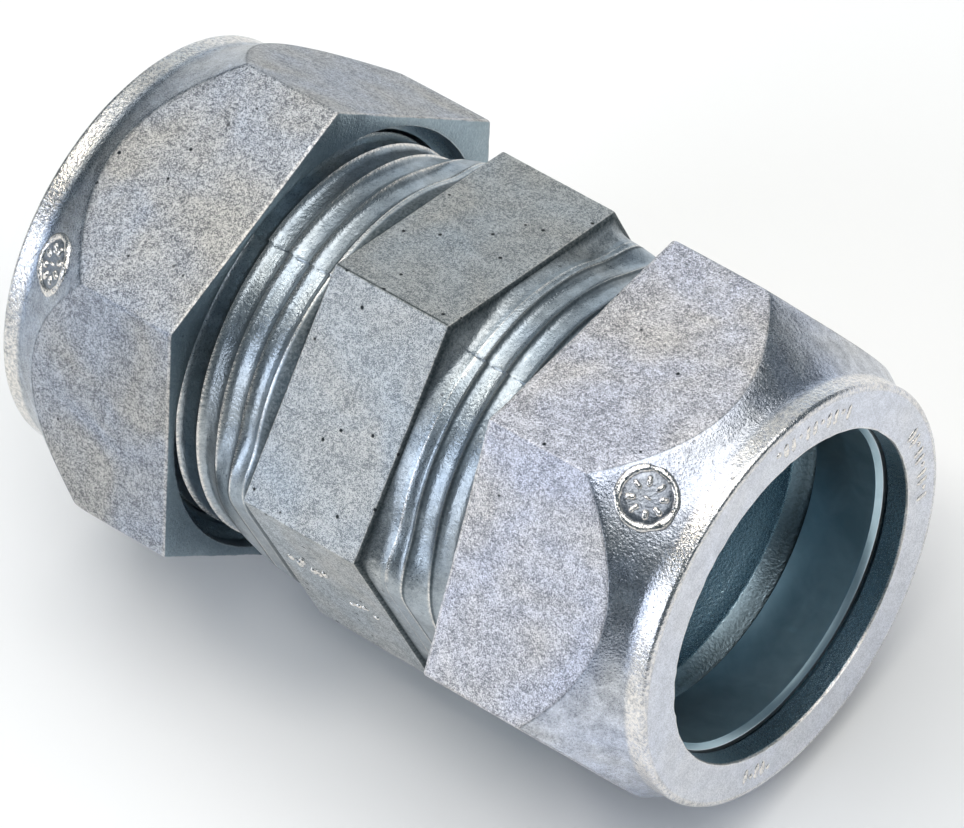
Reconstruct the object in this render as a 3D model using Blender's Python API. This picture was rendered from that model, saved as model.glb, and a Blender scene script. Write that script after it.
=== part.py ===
"""Compression coupling for 3/4 in. thin-wall electrical conduit.

A threaded body with a hexagon in its middle, a gland nut screwed onto each end, and a split
steel ring caught between each nut's lip and the body's flared mouth.

Frame: metres, +X along the conduit axis towards the near end, +Z up, origin in the middle of
the body. Angles round the axis are right-hand turns about +X, counted from +Z.
"""
import math

import bmesh
import bpy

MM = 0.001
CLEARANCE = 0.3 * MM

# Facets round the axis; a multiple of 6, so that hexagon corners fall on vertices.
SEGMENTS = 48

# Conduit socket
BORE_R = 11.95 * MM
STOP_R = 10.9 * MM
STOP_HALF_WIDTH = 0.9 * MM

# Right-hand straight thread, 14 threads per inch
PITCH = 25.4 / 14 * MM
THREAD_CREST_R = 14.57 * MM
THREAD_DEPTH = 0.7 * MM
THREAD_ROOT_R = THREAD_CREST_R - THREAD_DEPTH
CREST_HALF_WIDTH = 0.06 * PITCH
THREAD_RUN_OUT = 0.6 * PITCH
# Distance from the middle, outwards, of one thread crest at the top of the fitting.
NEAR_CREST_X = 7.0 * MM
FAR_CREST_X = 8.2 * MM

# Body
BODY_HALF_LENGTH = 20.4 * MM
BODY_HEX_FLAT_R = 14.9 * MM
BODY_HEX_HALF_WIDTH = 4.95 * MM
BODY_HEX_CHAMFER = 0.4 * MM
BODY_THREAD_START = 6.3 * MM
MOUTH_R = 13.0 * MM
MOUTH_DEPTH = 1.7 * MM
BODY_ANGLE = math.radians(-21.66)

# Gland nut
NUT_INNER_X = 12.2 * MM
NUT_OUTER_X = 28.26 * MM
NUT_HEX_FLAT_R = 16.45 * MM
NUT_CONE_START_X = 20.3 * MM
NUT_CONE_SLOPE = 0.6
COLLAR_R = 15.5 * MM
COLLAR_EDGE = 0.4 * MM
NUT_HOLE_R = 12.26 * MM
NUT_LIP = 1.86 * MM
NUT_MOUTH_R = 15.75 * MM
NUT_MOUTH_DEPTH = 1.0 * MM
NUT_THREAD_START_X = 13.8 * MM
NUT_THREAD_END_X = 22.0 * MM
NUT_ANGLE = math.radians(-8.35)

# Compression ring
RING_INNER_R = 11.875 * MM
RING_OUTER_R = 13.1 * MM
RING_BACK_X = 20.65 * MM
RING_FRONT_X = 26.1 * MM
RING_BACK_EDGE_R = 12.12 * MM
RING_FRONT_EDGE_R = 12.6 * MM
RING_FRONT_TAPER = 0.9 * MM
RING_GAP = 2.4 * MM
RING_ANGLE = math.radians(30.0)

CAVITY_R = RING_OUTER_R + 1.3 * CLEARANCE
NUT_CORNER_R = NUT_HEX_FLAT_R / math.cos(math.pi / 6)
HALF_TURN = math.pi


def hexagon_radius(flat_r, angle):
    """Distance from the axis to a hexagon with flats at 0, 60, 120... degrees."""
    off_flat = (angle + math.pi / 6) % (math.pi / 3) - math.pi / 6
    return flat_r / math.cos(off_flat)


def ring_row(x, radius):
    """A circle round the axis, as one row of a turned grid."""
    return lambda angle: (x, radius)


def hexagon_row(x, flat_r):
    """A hexagon round the axis, as one row of a turned grid."""
    return lambda angle: (x, hexagon_radius(flat_r, angle))


def ramp(distance):
    """0 at the end of a thread, rising smoothly to 1 over its run-out."""
    t = min(max(distance / THREAD_RUN_OUT, 0.0), 1.0)
    return t * t * (3.0 - 2.0 * t)


def thread_rows(start_x, end_x, crest_x, root_r, valleys_end, crests_end):
    """Rows of a right-hand thread between two planes, in order of rising x.

    crest_x is where a crest crosses angle 0. valleys_end and crests_end are the planes at
    which the valleys rise to the crest radius and the crests sink to the root radius.
    """
    def row(turn, fraction, is_crest):
        def place(angle):
            x = crest_x + (turn + fraction + angle / (2.0 * math.pi)) * PITCH
            x = min(max(x, start_x), end_x)
            if is_crest:
                height = min([ramp(abs(x - plane)) for plane in crests_end] + [1.0])
            else:
                height = 1.0 - min([ramp(abs(x - plane)) for plane in valleys_end] + [1.0])
            return x, root_r + THREAD_DEPTH * height
        return place

    rows = []
    crest = CREST_HALF_WIDTH / PITCH
    first = math.floor((start_x - crest_x) / PITCH) - 2
    last = math.ceil((end_x - crest_x) / PITCH) + 1
    for turn in range(first, last + 1):
        rows.append(row(turn, -crest, True))
        rows.append(row(turn, crest, True))
        rows.append(row(turn, 0.5, False))
    return rows


def turned(rows, first_angle=0.0, sweep=2.0 * math.pi):
    """A closed solid from rows that run round its section, outer side first.

    Each row gives (x, radius) for an angle. A sweep short of a full turn gets flat end caps.
    """
    mesh = bmesh.new()
    steps = max(3, round(SEGMENTS * sweep / (2.0 * math.pi)))
    columns = []
    for step in range(steps + 1):
        angle = first_angle + sweep * step / steps
        column = []
        for row in rows:
            x, radius = row(angle)
            column.append(mesh.verts.new((x, -radius * math.sin(angle), radius * math.cos(angle))))
        columns.append(column)
    for here, there in zip(columns, columns[1:]):
        for k in range(len(rows)):
            after = (k + 1) % len(rows)
            mesh.faces.new((here[k], here[after], there[after], there[k]))
    if sweep < 2.0 * math.pi - 1e-6:
        mesh.faces.new(columns[0][::-1])
        mesh.faces.new(columns[-1])
    bmesh.ops.remove_doubles(mesh, verts=mesh.verts, dist=0.002 * MM)
    bmesh.ops.dissolve_degenerate(mesh, edges=mesh.edges, dist=0.002 * MM)
    bmesh.ops.recalc_face_normals(mesh, faces=mesh.faces)
    return mesh


def material(name, colour, metallic, roughness):
    """A plain metal finish."""
    finish = bpy.data.materials.new(name)
    finish.use_nodes = True
    shader = finish.node_tree.nodes["Principled BSDF"]
    shader.inputs["Base Color"].default_value = (*colour, 1.0)
    shader.inputs["Metallic"].default_value = metallic
    shader.inputs["Roughness"].default_value = roughness
    return finish


def add_piece(name, mesh, finish, angle, flipped=False):
    """Put a solid into the scene, turned by angle about the axis and flipped to the far end."""
    data = bpy.data.meshes.new(name)
    mesh.to_mesh(data)
    mesh.free()
    data.materials.append(finish)
    data.shade_smooth()
    data.set_sharp_from_angle(angle=math.radians(30.0))
    piece = bpy.data.objects.new(name, data)
    piece.rotation_euler = (angle, 0.0, HALF_TURN if flipped else 0.0)
    bpy.context.collection.objects.link(piece)
    return piece


def local_crest(crest_x, angle):
    """Crest position at angle 0 of a piece that is then turned by angle."""
    return crest_x + PITCH * angle / (2.0 * math.pi)


def body_half_outside(crest_x):
    """Rows from the hexagon's side to the body's end, for an end that points along +X."""
    chamfered = BODY_HEX_FLAT_R - BODY_HEX_CHAMFER
    rows = [
        hexagon_row(BODY_HEX_HALF_WIDTH - BODY_HEX_CHAMFER, BODY_HEX_FLAT_R),
        hexagon_row(BODY_HEX_HALF_WIDTH, chamfered + 0.1 * MM),
        ring_row(BODY_HEX_HALF_WIDTH + 0.35 * MM, THREAD_CREST_R),
    ]
    rows += thread_rows(
        BODY_THREAD_START,
        BODY_HALF_LENGTH - CLEARANCE,
        crest_x,
        THREAD_ROOT_R,
        valleys_end=[BODY_THREAD_START],
        crests_end=[BODY_HALF_LENGTH - CLEARANCE],
    )
    rows.append(ring_row(BODY_HALF_LENGTH, THREAD_ROOT_R))
    return rows


def body_half_inside():
    """Rows from the body's end back to the conduit stop, for an end that points along +X."""
    return [
        ring_row(BODY_HALF_LENGTH, MOUTH_R),
        ring_row(BODY_HALF_LENGTH - MOUTH_DEPTH, BORE_R),
        ring_row(STOP_HALF_WIDTH, BORE_R),
        ring_row(STOP_HALF_WIDTH, STOP_R),
    ]


def flipped_rows(rows):
    """The same rows for the far end: turned half a turn about +Z, in the opposite order."""
    def flip(row):
        def place(angle):
            x, radius = row(-angle)
            return -x, radius
        return place

    return [flip(row) for row in reversed(rows)]


def make_body(finish):
    """Hexagon in the middle, a thread and a flared socket at each end, stop rib in the bore."""
    far = flipped_rows(body_half_outside(local_crest(FAR_CREST_X, -BODY_ANGLE)))
    near = body_half_outside(local_crest(NEAR_CREST_X, BODY_ANGLE))
    inside = body_half_inside()
    rows = far + near + inside + flipped_rows(inside)
    corner = math.pi / 6
    return add_piece("fitting_body", turned(rows, corner), finish, BODY_ANGLE)


def make_nut(name, finish, crest_x, flipped):
    """Hexagon nut with a coned shoulder, a collar, an inward lip and an internal thread."""
    def shoulder(angle):
        radius = hexagon_radius(NUT_HEX_FLAT_R, angle)
        return NUT_CONE_START_X + (NUT_CORNER_R - radius) / NUT_CONE_SLOPE, radius

    collar_x = NUT_CONE_START_X + (NUT_CORNER_R - COLLAR_R) / NUT_CONE_SLOPE
    rows = [
        hexagon_row(NUT_INNER_X, NUT_HEX_FLAT_R),
        shoulder,
        ring_row(collar_x, COLLAR_R),
        ring_row(NUT_OUTER_X - COLLAR_EDGE, COLLAR_R),
        ring_row(NUT_OUTER_X - 0.3 * COLLAR_EDGE, COLLAR_R - 0.2 * COLLAR_EDGE),
        ring_row(NUT_OUTER_X, COLLAR_R - 0.7 * COLLAR_EDGE),
        ring_row(NUT_OUTER_X, NUT_HOLE_R),
        ring_row(NUT_OUTER_X - NUT_LIP, NUT_HOLE_R),
        ring_row(NUT_OUTER_X - NUT_LIP, CAVITY_R),
        ring_row(NUT_THREAD_END_X, CAVITY_R),
    ]
    inner_root_r = THREAD_ROOT_R + CLEARANCE
    thread = thread_rows(
        NUT_THREAD_START_X,
        NUT_THREAD_END_X,
        local_crest(crest_x, NUT_ANGLE),
        inner_root_r,
        valleys_end=[NUT_THREAD_START_X, NUT_THREAD_END_X],
        crests_end=[],
    )
    rows += reversed(thread)
    rows += [
        ring_row(NUT_INNER_X + NUT_MOUTH_DEPTH, NUT_MOUTH_R),
        ring_row(NUT_INNER_X, NUT_MOUTH_R),
    ]
    corner = math.pi / 6
    return add_piece(name, turned(rows, corner), finish, NUT_ANGLE, flipped)


def make_ring(name, finish, flipped):
    """Split ring with a tapered back that the body's mouth squeezes onto the conduit."""
    taper_slope = (MOUTH_R - BORE_R) / MOUTH_DEPTH
    shoulder_x = RING_BACK_X + (RING_OUTER_R - RING_BACK_EDGE_R) / taper_slope
    rows = [
        ring_row(RING_BACK_X, RING_BACK_EDGE_R),
        ring_row(shoulder_x, RING_OUTER_R),
        ring_row(RING_FRONT_X - RING_FRONT_TAPER, RING_OUTER_R),
        ring_row(RING_FRONT_X, RING_FRONT_EDGE_R),
        ring_row(RING_FRONT_X, RING_INNER_R),
        ring_row(RING_BACK_X, RING_INNER_R),
    ]
    gap_angle = RING_GAP / RING_INNER_R
    mesh = turned(rows, 0.5 * gap_angle, 2.0 * math.pi - gap_angle)
    return add_piece(name, mesh, finish, RING_ANGLE, flipped)


def build():
    for piece in list(bpy.data.objects):
        bpy.data.objects.remove(piece, do_unlink=True)
    cast_body = material("cast_zinc_body", (0.50, 0.52, 0.54), 0.85, 0.45)
    cast_nut = material("cast_zinc_nut", (0.52, 0.53, 0.55), 0.85, 0.5)
    ring_steel = material("ring_steel", (0.35, 0.38, 0.41), 0.95, 0.35)
    make_body(cast_body)
    make_nut("near_gland_nut", cast_nut, NEAR_CREST_X, flipped=False)
    make_nut("far_gland_nut", cast_nut, FAR_CREST_X, flipped=True)
    make_ring("near_compression_ring", ring_steel, flipped=False)
    make_ring("far_compression_ring", ring_steel, flipped=True)


build()
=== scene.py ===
"""Looks of a die-cast conduit coupling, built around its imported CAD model."""
import math

import bpy
import numpy as np
from mathutils import Matrix, Vector


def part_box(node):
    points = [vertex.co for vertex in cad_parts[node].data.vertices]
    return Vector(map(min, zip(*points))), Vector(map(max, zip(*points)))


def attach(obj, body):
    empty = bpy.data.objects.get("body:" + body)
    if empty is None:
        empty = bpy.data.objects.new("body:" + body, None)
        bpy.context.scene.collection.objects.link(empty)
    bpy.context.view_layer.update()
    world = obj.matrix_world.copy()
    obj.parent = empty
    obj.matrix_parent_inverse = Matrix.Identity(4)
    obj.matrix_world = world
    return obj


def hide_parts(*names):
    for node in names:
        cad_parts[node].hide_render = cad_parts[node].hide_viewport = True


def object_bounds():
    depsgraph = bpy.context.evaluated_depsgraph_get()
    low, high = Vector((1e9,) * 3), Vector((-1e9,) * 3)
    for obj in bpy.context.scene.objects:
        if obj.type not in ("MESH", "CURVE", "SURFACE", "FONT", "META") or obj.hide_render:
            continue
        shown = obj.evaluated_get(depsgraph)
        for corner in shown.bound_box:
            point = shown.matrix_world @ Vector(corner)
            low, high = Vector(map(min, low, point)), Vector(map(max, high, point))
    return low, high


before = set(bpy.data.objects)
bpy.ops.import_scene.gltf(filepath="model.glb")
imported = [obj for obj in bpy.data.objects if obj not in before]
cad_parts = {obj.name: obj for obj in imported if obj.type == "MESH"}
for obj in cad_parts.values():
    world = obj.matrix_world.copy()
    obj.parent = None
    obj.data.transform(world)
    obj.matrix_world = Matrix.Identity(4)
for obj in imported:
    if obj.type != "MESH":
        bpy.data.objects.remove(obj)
cad_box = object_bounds()

MM = 0.001
TURN = 2.0 * math.pi

# ---------------------------------------------------------------- sizes, as in the CAD model
PITCH = 25.4 / 14 * MM
CREST_R = 14.57 * MM
CLEARANCE = 0.3 * MM
NEAR_CREST_X = 7.0 * MM
FAR_CREST_X = 8.2 * MM
RUN_OUT = 0.6 * PITCH

BORE_R = 11.95 * MM
STOP_R = 10.9 * MM
STOP_HALF_WIDTH = 0.9 * MM
BODY_END_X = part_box("fitting_body")[1][0]
BODY_HEX_FLAT_R = 14.9 * MM
BODY_HEX_HALF_WIDTH = 4.95 * MM
BODY_THREAD_START = 6.3 * MM
MOUTH_R = 13.0 * MM
MOUTH_DEPTH = 1.7 * MM
BODY_ANGLE = math.radians(-21.66)

NUT_INNER_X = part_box("near_gland_nut")[0][0]
NUT_OUTER_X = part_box("near_gland_nut")[1][0]
NUT_HEX_FLAT_R = 16.45 * MM
NUT_CORNER_R = NUT_HEX_FLAT_R / math.cos(math.pi / 6)
CONE_START_X = 20.3 * MM
CONE_SLOPE = 0.6
COLLAR_R = 15.5 * MM
HOLE_R = 12.26 * MM
LIP = 1.86 * MM
CAVITY_R = 13.49 * MM
NUT_MOUTH_R = 15.75 * MM
NUT_THREAD_START_X = 13.8 * MM
NUT_THREAD_END_X = 22.0 * MM
NUT_ANGLE = math.radians(-8.35)

RING_BACK_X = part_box("near_compression_ring")[0][0]
RING_FRONT_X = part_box("near_compression_ring")[1][0]
RING_INNER_R = 11.875 * MM
RING_OUTER_R = 13.1 * MM
RING_BACK_R = 12.12 * MM
RING_FRONT_R = 12.6 * MM
RING_FRONT_TAPER = 0.9 * MM
RING_GAP = 2.4 * MM
RING_ANGLE = math.radians(30.0)

# ---------------------------------------------------------------- sizes that only the looks have
THREAD_DEPTH = 0.4 * MM
ROOT_R = CREST_R - THREAD_DEPTH
EDGE_ROUND = 0.32 * MM
NUT_CORNER_ROUND = 0.28 * MM
BODY_CORNER_ROUND = 0.12 * MM
# The nuts' skins lie this far inside their CAD solids.
INSET = 0.02 * MM
FACE_X = NUT_OUTER_X - 0.15 * MM
COLLAR_X = CONE_START_X + (NUT_CORNER_R - COLLAR_R) / CONE_SLOPE


# ---------------------------------------------------------------- repeatable noise
def lattice(cell, seed):
    """A repeatable value between 0 and 1 for each whole-numbered lattice point."""
    n = (cell[..., 0] * 374761393 + cell[..., 1] * 668265263 + cell[..., 2] * 1442695041 + seed * 97531)
    n = n & 0xFFFFFFFF
    n = ((n ^ (n >> 13)) * 1274126177) & 0xFFFFFFFF
    n = ((n ^ (n >> 15)) * 668265263) & 0xFFFFFFFF
    return ((n ^ (n >> 16)) & 0xFFFFFF) / float(0xFFFFFF)


def noise(points, size, seed=0):
    """Smooth noise between -1 and 1 at each point, with lumps about size across."""
    p = np.asarray(points) / size + 512.0
    base = np.floor(p).astype(np.int64)
    f = p - base
    f = f * f * (3.0 - 2.0 * f)
    total = 0.0
    for corner in range(8):
        step = np.array([corner & 1, (corner >> 1) & 1, (corner >> 2) & 1])
        weight = np.prod(np.where(step, f, 1.0 - f), axis=-1)
        total = total + weight * lattice(base + step, seed)
    return 2.0 * total - 1.0


def noise_round(angle, lumps, seed):
    """Noise along a circle, with about that many lumps round it."""
    reach = lumps / TURN
    return noise(np.stack([reach * np.cos(angle), reach * np.sin(angle), 0 * angle], -1), 1.0, seed)


def smooth_step(t):
    """0 below 0, 1 above 1 and a smooth rise between them."""
    t = np.clip(t, 0.0, 1.0)
    return t * t * (3.0 - 2.0 * t)


def soft_min(a, b, width):
    """The smaller of two radii, with a rounded edge where they cross."""
    return 0.5 * (a + b - np.sqrt((a - b) ** 2 + width ** 2))


def soft_max(a, b, width):
    """The larger of two radii, with a rounded edge where they cross."""
    return -soft_min(-a, -b, width)


# ---------------------------------------------------------------- turned grids
# Points are matched after rounding to this grid, in metres.
SAME_POINT = 1e-8


def hexagon(flat_r, angle, corner_r=0.0):
    """Distance from the axis to a hexagon with its flats at 0, 60, 120... degrees."""
    off = np.abs((angle + math.pi / 6) % (math.pi / 3) - math.pi / 6)
    flat = flat_r / np.cos(off)
    if corner_r == 0.0:
        return flat
    centre = (flat_r - corner_r) / math.cos(math.pi / 6)
    to_corner = math.pi / 6 - off
    under = np.maximum(corner_r ** 2 - (centre * np.sin(to_corner)) ** 2, 0.0)
    arc = centre * np.cos(to_corner) + np.sqrt(under)
    tangent = math.atan2((flat_r - corner_r) * math.tan(math.pi / 6), flat_r)
    return np.where(off > tangent, arc, flat)


def columns(extra=()):
    """Angles once round the axis, closer together at a hexagon's corners."""
    near_corner = [0.0, 0.12, 0.26, 0.42, 0.62, 0.9]
    plain = [1.5 * k for k in range(1, 20)]
    half = near_corner + plain
    sector = half + [30.0] + [60.0 - a for a in reversed(half[1:])]
    degrees = [30.0 + 60.0 * side + a for side in range(6) for a in sector]
    degrees = sorted(set(degrees) | set(extra))
    return np.radians(np.array(degrees + [degrees[0] + 360.0]))


def circle_row(x, radius, **marks):
    """One row of a turned grid: a circle round the axis."""
    return lambda angle: (x + 0.0 * angle, radius + 0.0 * angle), marks


def row(place, **marks):
    """One row of a turned grid: a rule that gives x and radius for angles, and its marks."""
    return place, marks


def mesh_from_rows(name, rows, angles, displace=None, closed=True):
    """A closed turned skin.

    Rows run round its section, outer side first. Each gives x and radius for every angle, and
    marks that become point attributes.
    """
    column_count = len(angles)
    points = np.empty((len(rows), column_count, 3))
    mark_names = sorted({key for _, marks in rows for key in marks})
    marked = {key: np.zeros((len(rows), column_count)) for key in mark_names}
    for k, (place, marks) in enumerate(rows):
        x, radius = place(angles)
        points[k, :, 0] = x
        points[k, :, 1] = -radius * np.sin(angles)
        points[k, :, 2] = radius * np.cos(angles)
        for key, value in marks.items():
            marked[key][k] = value(angles) if callable(value) else value
    flat = points.reshape(-1, 3)
    keys = np.round(flat / SAME_POINT).astype(np.int64)
    _, first, index = np.unique(keys, axis=0, return_index=True, return_inverse=True)
    index = index.reshape(len(rows), column_count)
    verts = flat[first]
    values = {key: marked[key].reshape(-1)[first] for key in mark_names}
    a = index[:, :-1]
    b = np.roll(index, -1, axis=0)[:, :-1]
    c = np.roll(index, -1, axis=0)[:, 1:]
    d = index[:, 1:]
    quads = np.stack([a, b, c, d], -1).reshape(-1, 4)
    faces = []
    for quad in quads.tolist():
        loop = [v for k, v in enumerate(quad) if v != quad[k - 1]]
        if len(loop) >= 3 and len(set(loop)) == len(loop):
            faces.append(loop)
    if not closed:
        faces.append(index[:, 0][::-1].tolist())
        faces.append(index[:, -1].tolist())
    if displace is not None:
        verts = verts + vertex_normals(verts, quads) * displace(verts, values)[:, None]
    return new_mesh_piece(name, verts, faces, values)


def vertex_normals(verts, quads):
    """Area-weighted normals at each vertex of a quad mesh."""
    p = verts[quads]
    face = np.cross(p[:, 2] - p[:, 0], p[:, 3] - p[:, 1])
    normals = np.zeros_like(verts)
    for k in range(4):
        np.add.at(normals, quads[:, k], face)
    length = np.linalg.norm(normals, axis=1)
    return normals / np.maximum(length, 1e-18)[:, None]


def new_mesh_piece(name, verts, faces, values):
    """An object with smooth faces, and one point attribute for each name in values."""
    mesh = bpy.data.meshes.new(name)
    mesh.from_pydata([tuple(v) for v in np.asarray(verts).tolist()], [], faces)
    for key, value in values.items():
        layer = mesh.attributes.new(key, "FLOAT", "POINT")
        layer.data.foreach_set("value", value.astype(np.float32))
    mesh.validate()
    mesh.shade_smooth()
    piece = bpy.data.objects.new(name, mesh)
    bpy.context.scene.collection.objects.link(piece)
    return piece


def sharpen(piece, degrees=38.0):
    """Keeps the edges crisp where two faces meet at a steeper angle than this."""
    piece.data.set_sharp_from_angle(angle=math.radians(degrees))


def turn_piece(piece, angle, flipped=False):
    """Turns a piece about the axis, then round to the far end, in its vertices."""
    matrix = Matrix.Rotation(angle, 4, "X")
    if flipped:
        matrix = Matrix.Rotation(math.pi, 4, "Z") @ matrix
    piece.data.transform(matrix)


# ---------------------------------------------------------------- threads
def ridge_height(fraction):
    """0 in the middle of a rounded valley, 1 on a narrow crest."""
    return abs(2.0 * fraction - 1.0) ** 4.0


# Rows of one thread turn, from crest to crest, with the painted highlight and rubbing on the crest, and the
# painted shade beside it
THREAD_STATIONS = [0.0, 0.03, 0.07, 0.13, 0.22, 0.34, 0.5, 0.66, 0.78, 0.87, 0.93, 0.97]
THREAD_SHEEN_AND_WEAR = {0.0: 0.7, 0.97: 0.8, 0.93: 0.2}
THREAD_SHADE = {0.03: 0.8, 0.07: 0.85, 0.13: 0.15}
CREST_ROUNDING = 0.05


def thread_rows(start_x, end_x, crest_x, root_r, valley_ends, crest_ends, shift=None, surface=None,
                shade_and_grime=0.0, **marks):
    """Rows of a right-hand thread between two planes, in order of rising x.

    Each end is a plane and the length over which valleys or crests fade out towards it.
    """
    def one(turn, fraction):
        height_here = ridge_height(fraction)
        from_crest = min(fraction, 1.0 - fraction)
        rounding = CREST_ROUNDING * max(0.0, 1.0 - from_crest / CREST_ROUNDING)

        def place(angle):
            x = crest_x + (turn + fraction + angle / TURN) * PITCH
            if shift is not None:
                x = x + shift(angle)
            x = np.clip(x, start_x, end_x)
            valley = np.ones_like(x)
            for plane, run_out in valley_ends:
                valley = np.minimum(valley, smooth_step(np.abs(x - plane) / run_out))
            crest = np.ones_like(x)
            for plane, run_out in crest_ends:
                crest = np.minimum(crest, smooth_step(np.abs(x - plane) / run_out))
            height = (1.0 - valley * (1.0 - height_here)) * crest - rounding * crest * valley
            radius = root_r + THREAD_DEPTH * height
            if surface is not None:
                radius = surface(x, angle, radius)
            return x, radius

        # Crests carry a painted highlight with their rubbing, and the rows beside them carry painted shade.
        rubbed_and_sheen = THREAD_SHEEN_AND_WEAR.get(fraction, 0.0)
        crest_shade = THREAD_SHADE.get(fraction, 0.0)
        return row(place, wear=rubbed_and_sheen, dirt=crest_shade * shade_and_grime, **marks)

    first = math.floor((start_x - crest_x) / PITCH) - 2
    last = math.ceil((end_x - crest_x) / PITCH) + 1
    return [one(turn, f) for turn in range(first, last + 1) for f in THREAD_STATIONS]


def local_crest(crest_x, angle):
    """A crest's place at the top of a piece, before the piece is turned by that angle."""
    return crest_x + PITCH * angle / TURN


def flipped_rows(rows):
    """The same rows for the far end: half a turn about +Z, in the opposite order."""
    def flip(place):
        def flipped(angle):
            x, radius = place(-angle)
            return -x, radius
        return flipped

    return [(flip(place), marks) for place, marks in reversed(rows)]


# ---------------------------------------------------------------- body
# The parting line of the die, and the metal that fills the corner beside the hexagon
SEAM_ANGLE = math.radians(30.0)
SEAM_STEP = math.radians(0.35)
SEAM_SLIP = 0.13 * MM
SEAM_DROP = 0.05 * MM
SEAM_RISE = 0.07 * MM
SEAM_HALF_WIDTH = 0.1 * MM
SEAM_LINE_OFF = 0.12 * MM
SEAM_LINE_HALF_WIDTH = 0.07 * MM
GUSSET_REACH = math.radians(42.0)
GUSSET_BLEND = math.radians(25.0)
GUSSET_TOP_R = 17.1 * MM
GUSSET_SLOPE = 0.51


def wrapped(angle):
    """An angle between -180 and 180 degrees, in radians."""
    return (angle + math.pi) % TURN - math.pi


def one_half(angle):
    """1 on the half of the casting that the second die made, 0 on the other."""
    here = wrapped(angle - SEAM_ANGLE)
    opposite = wrapped(angle - SEAM_ANGLE - math.pi)
    rises = smooth_step(here / SEAM_STEP + 0.5) * (np.abs(here) < 0.5 * math.pi)
    falls = (1.0 - smooth_step(opposite / SEAM_STEP + 0.5)) * (np.abs(opposite) <= 0.5 * math.pi)
    return rises + falls


def seam_slip(angle):
    """How far the two dies were out of line along the axis."""
    return SEAM_SLIP * one_half(angle)


def seam_relief(x, angle, radius):
    """Flash along the parting line, and the small step from one die half to the other."""
    rise = 0.0
    for start in (SEAM_ANGLE, SEAM_ANGLE + math.pi):
        off = wrapped(angle - start) * radius
        wobble = 0.5 + 0.5 * noise(np.stack([x, 0 * x + start, 0 * x], -1), 0.7 * MM, 5)
        rise = rise + SEAM_RISE * wobble * np.exp(-(off / SEAM_HALF_WIDTH) ** 2)
    return radius + rise - SEAM_DROP * one_half(angle)


def seam_line(angle):
    """1 in the dark line beside the flash of the parting line."""
    lines = 0.0
    for start in (SEAM_ANGLE, SEAM_ANGLE + math.pi):
        off = wrapped(angle - start) * BODY_HEX_FLAT_R + SEAM_LINE_OFF
        lines = lines + np.exp(-(off / SEAM_LINE_HALF_WIDTH) ** 2)
    return lines


def gusset(x, angle, radius):
    """The smooth metal that joins neck and hexagon a quarter turn from the parting line."""
    reach = np.abs(x) - BODY_HEX_HALF_WIDTH
    off = np.minimum(np.abs(wrapped(angle - SEAM_ANGLE - 0.5 * math.pi)),
                     np.abs(wrapped(angle - SEAM_ANGLE + 0.5 * math.pi)))
    window = smooth_step((GUSSET_REACH - off) / GUSSET_BLEND)
    cone = GUSSET_TOP_R - GUSSET_SLOPE * reach
    top = soft_min(hexagon(BODY_HEX_FLAT_R - 0.28 * MM, angle, 0.3 * MM), cone, 0.3 * MM)
    return radius + window * np.maximum(0.0, top - radius)


def neck_surface(x, angle, radius):
    """The neck and threads, with their gussets and the parting line."""
    return seam_relief(x, angle, gusset(x, angle, radius))


def mirrored(surface):
    """A rule written for the body, as the rows that are flipped to the far end meet it."""
    return lambda x, angle, radius: surface(-x, -angle, radius)


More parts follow.
